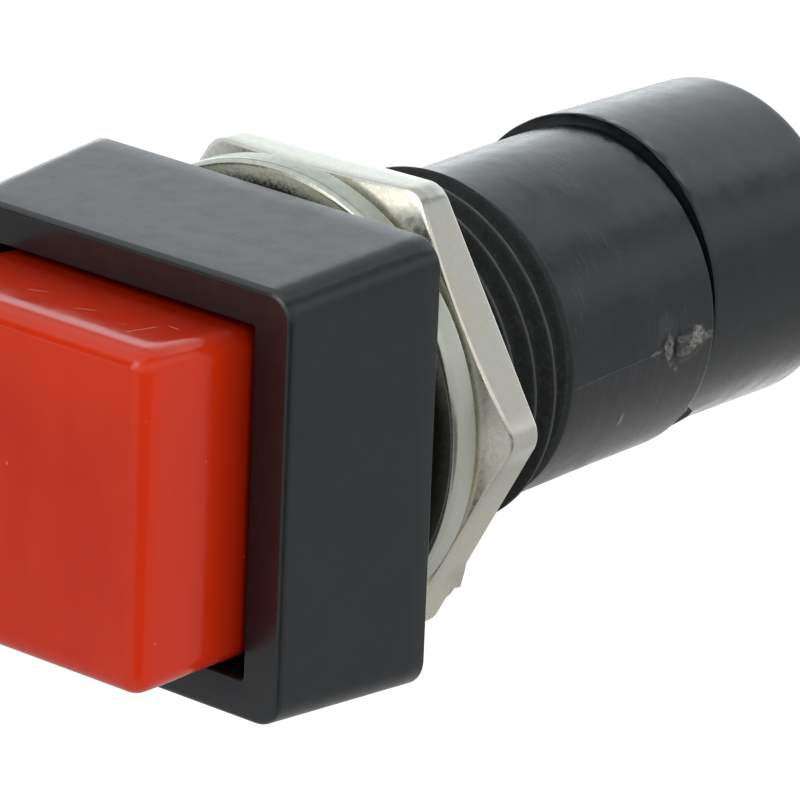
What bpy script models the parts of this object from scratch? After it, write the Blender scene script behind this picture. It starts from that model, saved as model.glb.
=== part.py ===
"""Square panel pushbutton switch: threaded barrel, spring-loaded cap, bridge contacts and solder lugs."""

import math

import bmesh
import bpy
from mathutils import Vector

MM = 0.001

# Clearances, in millimetres
SEAT_GAP = 0.08
GUIDE_GAP = 0.15
CAP_GAP = 0.2
PRESS_GAP = 0.05
SIDE_GAP = 0.3
STOP_GAP = 0.1
SLOT_GAP = 0.1
THREAD_GAP = 0.15

# Bezel: square, drafted towards the front; the panel seat is at y = 0 and the button faces -Y
BEZEL_BACK = 15.0
BEZEL_FRONT = 14.2
BEZEL_FRONT_HEIGHT = 14.36
BEZEL_DEPTH = 6.6
BEZEL_CORNER = 1.0
BEZEL_EDGE = 0.2
BACK_EDGE = 0.06
RIM_EDGE = 0.08
RELIEF_DEPTH = 0.2
SEAT_WIDTH = 1.14
SEAT_CORNER = 0.4
RECESS_FLOOR = 1.2
RECESS_CORNER = 0.12

# Button cap and its travel; it sits high in front and falls towards the recess
CAP_WIDTH = 10.9
CAP_TOP = 5.97
CAP_BOTTOM = -5.28
CAP_TOP_FALL = 0.075
CAP_TAPER = 0.006
CAP_CORNER = 0.5
CAP_EDGE = 0.42
CAP_WALL = 1.0
CAP_FRONT_WALL = 1.5
CAP_PROUD = 4.7
TRAVEL = 2.0
SOCKET_WALL = 1.17
SOCKET_LENGTH = 4.6
PEG_R = 1.95
PEG_LENGTH = 4.2

# Barrel and its right-hand thread
THREAD_PITCH = 1.0
THREAD_PHASE = 0.7
CREST_R = 6.0
THREAD_DEPTH = 0.45
THREAD_START = 0.7
THREAD_END = 9.05
THREAD_ROWS = 6
RUNOUT = 0.4
BODY_R = 5.61
BODY_EDGE = 0.05
BORE_R = 4.4
GUIDE_LENGTH = 2.7
SEAM_Y = 16.8

# Rear moulding, seated a little high as it is on the photographed switch
REAR_LIFT = 0.26
REAR_R = 5.55
REAR_END_R = 5.52
REAR_LENGTH = 7.55
REAR_EDGE = 0.35
SPIGOT_LENGTH = 1.66
POCKET_DEPTH = 5.0
SPIGOT_EDGE = 0.2

# Washer and nut
WASHER_WIDTH = 1.71
WASHER_EDGE = 0.12
WASHER_FRONT = 0.83
WASHER_THICK = 1.12
NUT_INSET = 0.36
NUT_THICK = 2.0
NUT_TURN = math.radians(1.5)
NUT_CHAMFER_WIDTH = 0.3
NUT_CHAMFER_SLOPE = math.tan(math.radians(32))
NUT_LEAD = 0.25
PASS_GAP = 0.06

# Plunger
STEM_R = 2.95
FLANGE_THICK = 1.2
TAIL_R = 2.6
PIN_R = 1.2
PIN_TIP = 1.3
PIN_BREAK = 0.3
GROOVE_DEPTH = 0.25
GROOVE_PLAY = 0.04

# Bridge, contacts, clip and springs
BRIDGE_THICK = 0.5
BRIDGE_HALF_H = 1.3
BRIDGE_CORNER = 0.4
BRIDGE_MARGIN = 0.05
CONTACT_X = 2.9
CONTACT_R = 0.65
CONTACT_HEIGHT = 0.4
CONTACT_OPEN = 1.5
CLIP_R = 1.9
CLIP_THICK = 0.35
CLIP_OPENING = math.radians(56)
RETURN_COIL_R = 1.5
RETURN_WIRE_R = 0.175
RETURN_TURNS = 7.5
CONTACT_COIL_R = 1.65
CONTACT_WIRE_R = 0.15
CONTACT_TURNS = 4
CONTACT_SPRING_SPACE = 2.7

# Terminals
LUG_THICK = 0.5
LUG_HALF_W = 1.1
FOOT_HALF = 0.7
LUG_REACH = 4.5
LUG_HOLE_R = 0.6
LUG_HOLE_INSET = 1.6
LUG_ROUND = 0.5
COIN_DEPTH = 0.05
COIN_SETBACK = 0.7

# Mesh fineness
COLUMNS = 40
NUT_COLUMNS = 48
SMALL_COLUMNS = 24
CORNER_STEPS = 6

# The recess clears the cap when it is pressed, with more room below it
RECESS_HALF_W = CAP_WIDTH / 2 + CAP_GAP * 0.75
RECESS_TOP = CAP_TOP - CAP_TOP_FALL * (CAP_PROUD - TRAVEL) + PRESS_GAP
RECESS_BOTTOM = CAP_BOTTOM - 3 * CAP_GAP

# Where each piece comes along the axis, from front to rear
CAP_FRONT_Y = -(BEZEL_DEPTH + CAP_PROUD)
CAP_REAR_Y = -(RECESS_FLOOR + STOP_GAP + TRAVEL)
SOCKET_END = CAP_FRONT_Y + CAP_FRONT_WALL + SOCKET_LENGTH
GUIDE_BACK = GUIDE_LENGTH - RECESS_FLOOR
FLANGE_FRONT = GUIDE_BACK + SEAT_GAP
SPIGOT_FRONT = SEAM_Y - SPIGOT_LENGTH
FOOT_FRONT = SPIGOT_FRONT - SEAT_GAP - LUG_THICK
FIXED_TOP = FOOT_FRONT - SEAT_GAP - CONTACT_HEIGHT
BRIDGE_BACK = FIXED_TOP - CONTACT_OPEN - CONTACT_HEIGHT - SEAT_GAP
BRIDGE_FRONT = BRIDGE_BACK - BRIDGE_THICK
TAIL_END = BRIDGE_FRONT - CONTACT_SPRING_SPACE
CLIP_FRONT = BRIDGE_BACK + SEAT_GAP
CLIP_BACK = CLIP_FRONT + CLIP_THICK
PIN_END = CLIP_BACK + PIN_TIP
POCKET_END = SPIGOT_FRONT + POCKET_DEPTH
REAR_END = SEAM_Y + REAR_LENGTH
LUG_END = REAR_END + LUG_REACH
COIN_START = REAR_END + COIN_SETBACK
BODY_START = THREAD_END + RUNOUT
NUT_FRONT = WASHER_FRONT + WASHER_THICK + SEAT_GAP

# What fits in, on or through another piece
ROOT_R = CREST_R - THREAD_DEPTH
GUIDE_R = STEM_R + GUIDE_GAP
SOCKET_R = PEG_R + SEAT_GAP
BOSS_R = SOCKET_R + SOCKET_WALL
FLANGE_R = BORE_R - SIDE_GAP
GROOVE_R = PIN_R - GROOVE_DEPTH
SPIGOT_R = BORE_R - SEAT_GAP
POCKET_R = RETURN_COIL_R + RETURN_WIRE_R + SIDE_GAP
WASHER_BORE_R = CREST_R + GUIDE_GAP
WASHER_R = WASHER_BORE_R + WASHER_WIDTH
NUT_HALF = WASHER_R - NUT_INSET
NUT_CHAMFER_R = NUT_HALF - NUT_CHAMFER_WIDTH
NUT_MINOR_R = max(BODY_R, REAR_R) + PASS_GAP
BRIDGE_HALF_W = CONTACT_X + CONTACT_R + BRIDGE_MARGIN
LUG_INNER_X = CONTACT_X - FOOT_HALF
LUG_OUTER_X = CONTACT_X + FOOT_HALF


def clear_scene():
    """Empty the scene, so that only this part is left in it."""
    for obj in list(bpy.data.objects):
        bpy.data.objects.remove(obj, do_unlink=True)


def principled(name, colour, roughness, metallic=0.0):
    """One Principled material with a colour, roughness and metallic value."""
    mat = bpy.data.materials.new(name)
    mat.use_nodes = True
    shader = mat.node_tree.nodes["Principled BSDF"]
    shader.inputs["Base Color"].default_value = (*colour, 1.0)
    shader.inputs["Roughness"].default_value = roughness
    shader.inputs["Metallic"].default_value = metallic
    mat.diffuse_color = (*colour, 1.0)
    return mat


def finish_object(name, bm, mat, origin_y=0.0):
    """Turn a bmesh in millimetres into a named object whose origin is on the switch's axis."""
    for vert in bm.verts:
        vert.co = (vert.co - Vector((0.0, origin_y, 0.0))) * MM
    bmesh.ops.remove_doubles(bm, verts=bm.verts, dist=1e-7)
    bmesh.ops.recalc_face_normals(bm, faces=bm.faces)
    mesh = bpy.data.meshes.new(name)
    bm.to_mesh(mesh)
    bm.free()
    mesh.materials.append(mat)
    mesh.shade_smooth()
    mesh.set_sharp_from_angle(angle=math.radians(32))
    obj = bpy.data.objects.new(name, mesh)
    obj.location = (0.0, origin_y * MM, 0.0)
    bpy.context.collection.objects.link(obj)
    return obj


def add_loft(bm, rings, closed):
    """Join equal rings of points by quads; a closed loft ends where it began, others get end faces."""
    loops = [[bm.verts.new(point) for point in ring] for ring in rings]
    count = len(loops[0])
    pairs = list(zip(loops, loops[1:]))
    if closed:
        pairs.append((loops[-1], loops[0]))
    for first, second in pairs:
        for i in range(count):
            j = (i + 1) % count
            bm.faces.new((first[i], first[j], second[j], second[i]))
    if not closed:
        bm.faces.new(list(reversed(loops[0])))
        bm.faces.new(loops[-1])


def circle(radius, y, columns=COLUMNS, lift=0.0, shift=0.0):
    """A ring around the Y axis, counted from +Z towards +X."""
    points = []
    for i in range(columns):
        angle = 2 * math.pi * i / columns
        points.append((shift + radius * math.sin(angle), y, lift + radius * math.cos(angle)))
    return points


def rounded_box_ring(half_w, top, bottom, corner, y, columns=COLUMNS):
    """A rounded rectangle with the same number of points as a circle, in the same order."""
    per_quarter = columns // 4
    straight = (per_quarter - CORNER_STEPS) // 2
    points = []
    for quarter in range(4):
        for step in range(per_quarter):
            points.append(quarter_point(quarter, step, straight, half_w, top, bottom, corner, y))
    return points


def quarter_point(quarter, step, straight, half_w, top, bottom, corner, y):
    """One point of a rounded rectangle's quarter: a straight run, a corner arc, a straight run."""
    height = top if quarter in (0, 3) else -bottom
    flip = quarter in (1, 3)
    along, across = (height, half_w) if flip else (half_w, height)
    if step < straight:
        u = (along - corner) * step / straight
        v = across
    elif step <= straight + CORNER_STEPS:
        angle = math.pi / 2 * (step - straight) / CORNER_STEPS
        u = along - corner + corner * math.sin(angle)
        v = across - corner + corner * math.cos(angle)
    else:
        left = step - straight - CORNER_STEPS
        u = along
        v = (across - corner) * (1 - left / straight)
    x, z = ((u, v), (v, -u), (-u, -v), (-v, u))[quarter]
    return (x, y, z)


def thread_shape(phase):
    """Height of the thread from 0 at the root to 1 at the crest, over one pitch."""
    away = abs((phase + 0.5) % 1.0 - 0.5)
    return min(1.0, max(0.0, (0.34 - away) / 0.24))


def thread_fade(y):
    """Let the thread run out at both ends of the barrel."""
    rise = (y - THREAD_START) / (0.5 * THREAD_PITCH)
    fall = (THREAD_END - y) / (0.5 * THREAD_PITCH)
    return min(1.0, max(0.0, rise), max(0.0, fall))


def barrel_ring(y, columns=COLUMNS):
    """A ring of the barrel's outside, with the right-hand helix in its radius."""
    points = []
    for i in range(columns):
        angle = 2 * math.pi * i / columns
        height = thread_shape(y / THREAD_PITCH - THREAD_PHASE - i / columns) * thread_fade(y)
        radius = ROOT_R + (CREST_R - ROOT_R) * height
        points.append((radius * math.sin(angle), y, radius * math.cos(angle)))
    return points


def make_housing(mat):
    """Bezel, recess, guide, bore and threaded barrel in one moulding."""
    front = -BEZEL_DEPTH
    floor = -RECESS_FLOOR
    half_b = BEZEL_BACK / 2
    half_w = BEZEL_FRONT / 2
    half_h = BEZEL_FRONT_HEIGHT / 2
    rings = [circle(BORE_R, SEAM_Y), circle(BORE_R, GUIDE_BACK)]
    rings.append(circle(GUIDE_R, GUIDE_BACK))
    rings.append(circle(GUIDE_R, floor))
    w, t, b = RECESS_HALF_W, RECESS_TOP, RECESS_BOTTOM
    rings.append(rounded_box_ring(w, t, b, RECESS_CORNER, floor))
    rings.append(rounded_box_ring(w, t, b, RECESS_CORNER, front + RIM_EDGE))
    e = RIM_EDGE
    rings.append(rounded_box_ring(w + e, t + e, b - e, RECESS_CORNER + e, front))
    for step in range(4):
        angle = math.pi / 2 * step / 3
        inset = BEZEL_EDGE * (1 - math.sin(angle))
        y = front + BEZEL_EDGE * (1 - math.cos(angle))
        w, h = half_w - inset, half_h - inset
        rings.append(rounded_box_ring(w, h, -h, BEZEL_CORNER - inset, y))
    rings.append(rounded_box_ring(half_b, half_b, -half_b, BEZEL_CORNER, -BACK_EDGE))
    half = half_b - BACK_EDGE
    rings.append(rounded_box_ring(half, half, -half, BEZEL_CORNER - BACK_EDGE, 0.0))
    half -= SEAT_WIDTH
    rings.append(rounded_box_ring(half, half, -half, SEAT_CORNER, 0.0))
    rings.append(rounded_box_ring(half, half, -half, SEAT_CORNER, -RELIEF_DEPTH))
    rings.append(circle(ROOT_R, -RELIEF_DEPTH))
    rows = round((THREAD_END - THREAD_START) * THREAD_ROWS / THREAD_PITCH)
    for row in range(rows + 1):
        rings.append(barrel_ring(THREAD_START + (THREAD_END - THREAD_START) * row / rows))
    rings.append(circle(BODY_R, BODY_START))
    rings.append(circle(BODY_R, SEAM_Y - BODY_EDGE))
    rings.append(circle(BODY_R - BODY_EDGE, SEAM_Y))
    bm = bmesh.new()
    add_loft(bm, rings, True)
    return finish_object("housing", bm, mat)


def cap_ring(y, inset, corner):
    """A ring of the cap, set in from its outside by inset."""
    back = y - CAP_FRONT_Y
    half = CAP_WIDTH / 2 - CAP_TAPER * back - inset
    top = CAP_TOP - CAP_TOP_FALL * back - inset
    bottom = CAP_BOTTOM - CAP_TAPER * back + inset
    return rounded_box_ring(half, top, bottom, corner, y)


def make_button_cap(mat):
    """Square cap: a tapered shell with a socket for the plunger's peg."""
    rings = []
    for step in range(5):
        angle = math.pi / 2 * step / 4
        inset = CAP_EDGE * (1 - math.sin(angle))
        y = CAP_FRONT_Y + CAP_EDGE * (1 - math.cos(angle))
        rings.append(cap_ring(y, inset, CAP_CORNER - inset))
    inside = CAP_FRONT_Y + CAP_FRONT_WALL
    rings.append(cap_ring(CAP_REAR_Y, 0.0, CAP_CORNER))
    rings.append(cap_ring(CAP_REAR_Y, CAP_WALL, CAP_CORNER))
    rings.append(cap_ring(inside, CAP_WALL, CAP_CORNER))
    rings.append(circle(BOSS_R, inside))
    rings.append(circle(BOSS_R, SOCKET_END))
    rings.append(circle(SOCKET_R, SOCKET_END))
    rings.append(circle(SOCKET_R, SOCKET_END - PEG_LENGTH))
    bm = bmesh.new()
    add_loft(bm, rings, False)
    return finish_object("button_cap", bm, mat, CAP_REAR_Y)


def make_plunger(mat):
    """Peg, guided stem, flange, tail and grooved pin, turned about the axis."""
    shoulder = SOCKET_END + SEAT_GAP
    peg_end = SOCKET_END - PEG_LENGTH + SEAT_GAP
    flange_back = FLANGE_FRONT + FLANGE_THICK
    groove_front = CLIP_FRONT - GROOVE_PLAY
    groove_back = CLIP_BACK + GROOVE_PLAY
    profile = [(PEG_R - PIN_BREAK, peg_end), (PEG_R, peg_end + PIN_BREAK)]
    profile += [(PEG_R, shoulder), (STEM_R, shoulder), (STEM_R, FLANGE_FRONT)]
    profile += [(FLANGE_R, FLANGE_FRONT), (FLANGE_R, flange_back), (TAIL_R, flange_back)]
    profile += [(TAIL_R, TAIL_END), (PIN_R, TAIL_END), (PIN_R, groove_front)]
    profile += [(GROOVE_R, groove_front), (GROOVE_R, groove_back), (PIN_R, groove_back)]
    profile += [(PIN_R, PIN_END - PIN_BREAK), (PIN_R - PIN_BREAK, PIN_END)]
    bm = bmesh.new()
    add_loft(bm, [circle(r, y, SMALL_COLUMNS) for r, y in profile], False)
    return finish_object("plunger", bm, mat, FLANGE_FRONT)


def make_retaining_clip(mat):
    """Open ring that snaps into the pin's groove behind the bridge."""
    inner = GROOVE_R + SEAT_GAP
    steps = 18
    rings = []
    for i in range(steps + 1):
        angle = CLIP_OPENING / 2 + (2 * math.pi - CLIP_OPENING) * i / steps
        sx, cz = math.sin(angle), math.cos(angle)
        ring = [(r * sx, y, r * cz) for r, y in
                ((inner, CLIP_FRONT), (CLIP_R, CLIP_FRONT), (CLIP_R, CLIP_BACK), (inner, CLIP_BACK))]
        rings.append(ring)
    bm = bmesh.new()
    add_loft(bm, rings, False)
    return finish_object("retaining_clip", bm, mat, CLIP_FRONT)


def make_spring(name, mat, coil_r, wire_r, turns, start, end):
    """Coil spring along the axis, with its end turns closed up."""
    per_turn = 14
    sides = 6
    steps = round(turns * per_turn)
    rings = []
    for i in range(steps + 1):
        part = i / steps
        turn = turns * part
        eased = ease_ends(part, turns)
        y = start + wire_r + (end - start - 2 * wire_r) * eased
        angle = 2 * math.pi * turn
        centre = Vector((coil_r * math.sin(angle), y, coil_r * math.cos(angle)))
        outward = Vector((math.sin(angle), 0.0, math.cos(angle)))
        ring = []
        for k in range(sides):
            around = 2 * math.pi * k / sides
            lean = math.cos(around) * outward + math.sin(around) * Vector((0, 1, 0))
            ring.append(centre + wire_r * lean)
        rings.append(ring)
    bm = bmesh.new()
    add_loft(bm, rings, False)
    return finish_object(name, bm, mat, end)


def ease_ends(part, turns):
    """Advance slowly over the first and last turn, as a closed end does, without touching itself."""
    slow = 0.55
    end = 1.0 / turns
    middle = (1 - 2 * end * slow) / (1 - 2 * end)
    if part < end:
        return part * slow
    if part > 1 - end:
        return 1 - (1 - part) * slow
    return end * slow + (part - end) * middle


def make_contact_bridge(mat):
    """Cross plate with a hole for the plunger's pin."""
    hole = PIN_R + GUIDE_GAP
    w, h = BRIDGE_HALF_W, BRIDGE_HALF_H
    rings = [rounded_box_ring(w, h, -h, BRIDGE_CORNER, y) for y in (BRIDGE_FRONT, BRIDGE_BACK)]
    rings += [circle(hole, BRIDGE_BACK), circle(hole, BRIDGE_FRONT)]
    bm = bmesh.new()
    add_loft(bm, rings, True)
    return finish_object("contact_bridge", bm, mat, BRIDGE_FRONT)


def make_contact(name, mat, side, base, facing):
    """Low domed contact button standing on a plate, its dome towards facing (1 rear, -1 front)."""
    shape = ((0.0, 1.0), (0.55, 1.0), (0.85, 0.8), (1.0, 0.45))
    rings = []
    for up, wide in shape:
        y = base + facing * CONTACT_HEIGHT * up
        rings.append(circle(CONTACT_R * wide, y, 16, 0.0, side * CONTACT_X))
    bm = bmesh.new()
    add_loft(bm, rings, False)
    return finish_object(name, bm, mat, base)


def box_verts(bm, low, high):
    """Add a box between two corners, in millimetres."""
    made = bmesh.ops.create_cube(bm, size=1.0)["verts"]
    for vert in made:
        vert.co = Vector([low[k] + (high[k] - low[k]) * (vert.co[k] + 0.5) for k in range(3)])


def cut(target, cutter, operation="DIFFERENCE"):
    """Apply an exact boolean with a cutter, then remove the cutter."""
    mod = target.modifiers.new("cut", "BOOLEAN")
    mod.operation = operation
    mod.solver = "EXACT"
    mod.object = cutter
    cutter.hide_render = True
    cutter.display_type = "WIRE"
    bpy.context.view_layer.update()
    evaluated = target.evaluated_get(bpy.context.evaluated_depsgraph_get())
    mesh = bpy.data.meshes.new_from_object(evaluated)
    old = target.data
    target.modifiers.clear()
    target.data = mesh
    bpy.data.meshes.remove(old)
    bpy.data.objects.remove(cutter, do_unlink=True)


def make_rear_housing(mat):
    """Rear moulding: a spigot in the barrel, a spring pocket, and a slot for each terminal."""
    shoulder = SEAM_Y + SEAT_GAP
    rings = [circle(POCKET_R, POCKET_END), circle(POCKET_R, SPIGOT_FRONT)]
    rings.append(circle(SPIGOT_R - SPIGOT_EDGE, SPIGOT_FRONT))
    rings.append(circle(SPIGOT_R, SPIGOT_FRONT + SPIGOT_EDGE))
    rings.append(circle(SPIGOT_R, shoulder))
    rings.append(circle(REAR_R - BODY_EDGE, shoulder, COLUMNS, REAR_LIFT))
    rings.append(circle(REAR_R, shoulder + BODY_EDGE, COLUMNS, REAR_LIFT))
    for step in range(5):
        angle = math.pi / 2 * step / 4
        radius = REAR_END_R - REAR_EDGE * (1 - math.cos(angle))
        y = REAR_END - REAR_EDGE * (1 - math.sin(angle))
        rings.append(circle(radius, y, COLUMNS, REAR_LIFT))
    bm = bmesh.new()
    add_loft(bm, rings, False)
    obj = finish_object("rear_housing", bm, mat, SEAM_Y)
    for side in (-1, 1):
        slot = bmesh.new()
        near = LUG_OUTER_X - LUG_THICK - SLOT_GAP
        far = LUG_OUTER_X + SLOT_GAP
        xs = sorted((side * near, side * far))
        wide = LUG_HALF_W + SLOT_GAP
        box_verts(slot, (xs[0], SPIGOT_FRONT - 1, -wide), (xs[1], REAR_END + 1, wide))
        cut(obj, finish_object("slot_cutter", slot, mat))
    return obj


def make_terminal(name, mat, side):
    """Solder lug: a foot under the fixed contact, and a leg that is coined thinner round its hole."""
    leg = bmesh.new()
    outline = [(-LUG_HALF_W, FOOT_FRONT), (LUG_HALF_W, FOOT_FRONT)]
    for step in range(5):
        angle = math.pi / 2 * step / 4
        z = LUG_HALF_W - LUG_ROUND + LUG_ROUND * math.cos(angle)
        outline.append((z, LUG_END - LUG_ROUND + LUG_ROUND * math.sin(angle)))
    for step in range(5):
        angle = math.pi / 2 * step / 4
        z = -LUG_HALF_W + LUG_ROUND - LUG_ROUND * math.sin(angle)
        outline.append((z, LUG_END - LUG_ROUND + LUG_ROUND * math.cos(angle)))
    near = side * (LUG_OUTER_X - LUG_THICK)
    far = side * LUG_OUTER_X
    add_loft(leg, [[(x, y, z) for z, y in outline] for x in (near, far)], False)
    obj = finish_object(name, leg, mat, FOOT_FRONT)
    foot = bmesh.new()
    xs = sorted((side * LUG_INNER_X, side * (LUG_OUTER_X - LUG_THICK / 2)))
    low = (xs[0], FOOT_FRONT, -LUG_HALF_W)
    box_verts(foot, low, (xs[1], FOOT_FRONT + LUG_THICK, LUG_HALF_W))
    cut(obj, finish_object("foot_cutter", foot, mat), "UNION")
    hole = bmesh.new()
    centre = LUG_END - LUG_HOLE_INSET
    rings = []
    for x in (near - side, far + side):
        ring = []
        for i in range(20):
            angle = 2 * math.pi * i / 20
            ring.append((x, centre + LUG_HOLE_R * math.cos(angle), LUG_HOLE_R * math.sin(angle)))
        rings.append(ring)
    add_loft(hole, rings, False)
    cut(obj, finish_object("hole_cutter", hole, mat))
    for face, away in ((near, -side), (far, side)):
        coin = bmesh.new()
        xs = sorted((face - away * COIN_DEPTH, face + away))
        box_verts(coin, (xs[0], COIN_START, -LUG_HALF_W - 1), (xs[1], LUG_END + 1, LUG_HALF_W + 1))
        cut(obj, finish_object("coin_cutter", coin, mat))
    return obj


def make_washer(mat):
    """Thick plain washer with slightly broken outer edges."""
    e = WASHER_EDGE
    back = WASHER_FRONT + WASHER_THICK
    profile = [(WASHER_BORE_R, WASHER_FRONT), (WASHER_R - e, WASHER_FRONT), (WASHER_R, WASHER_FRONT + e)]
    profile += [(WASHER_R, back - e), (WASHER_R - e, back), (WASHER_BORE_R, back)]
    bm = bmesh.new()
    add_loft(bm, [circle(r, y, NUT_COLUMNS) for r, y in profile], True)
    return finish_object("washer", bm, mat, WASHER_FRONT)


def hex_radius(angle):
    """Distance from the axis to the hexagon's side, with a flat on top before the nut is turned."""
    local = (angle - NUT_TURN + math.pi / 6) % (math.pi / 3) - math.pi / 6
    return NUT_HALF / math.cos(local)


def nut_bore_ring(y):
    """A ring of the nut's internal thread, clear of the barrel's thread all round."""
    points = []
    for i in range(NUT_COLUMNS):
        part = i / NUT_COLUMNS
        angle = 2 * math.pi * part
        shift = 0.12 / THREAD_PITCH
        phase = y / THREAD_PITCH - THREAD_PHASE - part
        height = max(thread_shape(phase - shift), thread_shape(phase), thread_shape(phase + shift))
        radius = max(NUT_MINOR_R, ROOT_R + (CREST_R - ROOT_R) * height + THREAD_GAP)
        points.append((radius * math.sin(angle), y, radius * math.cos(angle)))
    return points


def make_panel_nut(mat):
    """Thin hexagonal nut, chamfered in front, with a helical internal thread."""
    back = NUT_FRONT + NUT_THICK
    angles = [2 * math.pi * i / NUT_COLUMNS + NUT_TURN for i in range(NUT_COLUMNS)]
    outside = []
    sides = []
    for angle in angles:
        radius = hex_radius(angle)
        y = NUT_FRONT + (radius - NUT_CHAMFER_R) * NUT_CHAMFER_SLOPE
        outside.append((NUT_CHAMFER_R * math.sin(angle), NUT_FRONT, NUT_CHAMFER_R * math.cos(angle)))
        sides.append((radius * math.sin(angle), y, radius * math.cos(angle)))
    rear = [(x, back, z) for x, _, z in sides]
    lead = CREST_R + THREAD_GAP + PASS_GAP
    rings = [outside, sides, rear, circle(lead, back, NUT_COLUMNS)]
    rows = round((NUT_THICK - 2 * NUT_LEAD) * THREAD_ROWS / THREAD_PITCH)
    for row in range(rows + 1):
        y = back - NUT_LEAD - (NUT_THICK - 2 * NUT_LEAD) * row / rows
        rings.append(nut_bore_ring(y))
    rings.append(circle(lead, NUT_FRONT, NUT_COLUMNS))
    bm = bmesh.new()
    add_loft(bm, rings, True)
    return finish_object("panel_nut", bm, mat, NUT_FRONT)


def build():
    """Make every piece with its material."""
    clear_scene()
    black = (0.013, 0.013, 0.014)
    make_housing(principled("housing_black", black, 0.38))
    make_button_cap(principled("cap_red", (0.52, 0.035, 0.016), 0.32))
    make_rear_housing(principled("rear_black", black, 0.4))
    make_washer(principled("washer_zinc", (0.55, 0.56, 0.53), 0.32, 1.0))
    make_panel_nut(principled("nut_nickel", (0.62, 0.6, 0.54), 0.27, 1.0))
    make_plunger(principled("plunger_white", (0.72, 0.71, 0.67), 0.45))
    steel = principled("clip_steel", (0.5, 0.5, 0.51), 0.3, 1.0)
    make_retaining_clip(steel)
    wire = principled("spring_steel", (0.45, 0.45, 0.46), 0.28, 1.0)
    make_spring("return_spring", wire, RETURN_COIL_R, RETURN_WIRE_R, RETURN_TURNS,
                CLIP_BACK + SEAT_GAP, POCKET_END - SEAT_GAP)
    fine = principled("contact_spring_steel", (0.46, 0.46, 0.47), 0.28, 1.0)
    make_spring("contact_spring", fine, CONTACT_COIL_R, CONTACT_WIRE_R, CONTACT_TURNS,
                TAIL_END + SEAT_GAP, BRIDGE_FRONT - SEAT_GAP)
    make_contact_bridge(principled("bridge_brass", (0.62, 0.44, 0.16), 0.3, 1.0))
    silver = principled("contact_silver", (0.78, 0.77, 0.74), 0.25, 1.0)
    lug = principled("terminal_tinned", (0.6, 0.59, 0.55), 0.33, 1.0)
    for side, word in ((-1, "left"), (1, "right")):
        make_contact("moving_contact_" + word, silver, side, BRIDGE_BACK + SEAT_GAP, 1)
        make_contact("fixed_contact_" + word, silver, side, FOOT_FRONT - SEAT_GAP, -1)
        make_terminal("terminal_" + word, lug, side)


build()
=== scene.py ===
import math

import bpy
import numpy as np
from mathutils import Matrix, Vector


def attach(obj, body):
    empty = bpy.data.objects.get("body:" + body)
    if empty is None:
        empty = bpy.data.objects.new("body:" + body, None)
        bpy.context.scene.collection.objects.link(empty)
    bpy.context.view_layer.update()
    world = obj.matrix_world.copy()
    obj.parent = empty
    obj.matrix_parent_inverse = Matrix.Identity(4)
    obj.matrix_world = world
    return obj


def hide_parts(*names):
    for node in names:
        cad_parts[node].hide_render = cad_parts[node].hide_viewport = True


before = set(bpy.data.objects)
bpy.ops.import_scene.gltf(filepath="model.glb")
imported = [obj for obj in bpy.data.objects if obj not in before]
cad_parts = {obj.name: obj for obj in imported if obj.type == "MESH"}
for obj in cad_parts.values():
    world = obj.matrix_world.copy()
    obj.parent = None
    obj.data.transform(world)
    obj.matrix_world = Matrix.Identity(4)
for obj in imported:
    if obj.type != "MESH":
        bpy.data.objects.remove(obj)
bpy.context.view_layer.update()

MM = 0.001
TURN = 2 * math.pi

# Sizes in millimetres; the panel seat is at y = 0, the button faces -Y; phase in turns, rows per pitch
BEZEL_BACK_HALF = 7.5
BEZEL_BACK_BOTTOM = -7.56
BEZEL_FRONT_HALF = 7.1
BEZEL_FRONT_TOP = 7.14
BEZEL_FRONT_BOTTOM = -7.23
BEZEL_DEPTH = 6.6
BEZEL_CORNER = 1.0
BEZEL_EDGE = 0.22
BACK_EDGE = 0.08
RIM_EDGE = 0.09
RECESS_FLOOR = 1.2
RECESS_HALF_W = 5.6
RECESS_TOP = 5.8175
RECESS_BOTTOM = -5.88
RECESS_CORNER = 0.12
SEAT_WIDTH = 1.14
RELIEF_DEPTH = 0.2
GUIDE_R = 3.1
GUIDE_BACK = 1.5
BORE_R = 4.4

CAP_FRONT = -11.3
CAP_REAR = -3.3
CAP_HALF_W = 5.45
CAP_TOP = 5.97
CAP_BOTTOM = -5.36
CAP_TOP_FALL = 0.075
CAP_TAPER = 0.006
CAP_CORNER = 0.72
CAP_EDGE = 0.72
CAP_WALL = 1.0
CAP_FRONT_WALL = 1.5
CAP_SCRATCHES = ((3.3, -9.95, 3.5, -8.6), (3.55, -8.3, 4.2, -8.35), (0.6, -9.4, 1.3, -8.9),
                 (-1.6, -9.1, -0.9, -8.7))
SOCKET_END = -5.2
SOCKET_R = 2.03
BOSS_R = 3.2

PITCH = 1.0
CREST_R = 6.0
ROOT_R = 5.55
THREAD_START = 0.7
THREAD_END = 9.05
THREAD_PHASE = 0.7
BODY_R = 5.61
THREAD_ROWS = 22
BODY_SAG = 0.05
SEAM_Y = 16.8
SEAM_EDGE = 0.06
PART_ANGLE = 90.0

# Thread that stands a little proud: degrees round, place along, two widths, height in millimetres
PROUD_THREAD = (150.0, 4.7, 24.0, 1.1, 0.1)

# Torn gate mark and nicks on the barrel: degrees round, place along, two widths, height in millimetres
SCAR = ((91.7, 14.84, 3.3, 0.1, -0.26), (91.0, 15.85, 2.6, 0.26, 0.06), (90.8, 14.42, 3.4, 0.12, 0.06),
        (89.0, 15.3, 1.1, 0.3, 0.045), (94.6, 15.2, 1.4, 0.35, 0.035), (91.3, 16.35, 0.9, 0.3, 0.035),
        (88.3, 14.1, 1.8, 0.2, -0.06), (113.6, 12.57, 1.2, 0.07, 0.05), (99.9, 14.89, 1.0, 0.08, 0.04))

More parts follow.
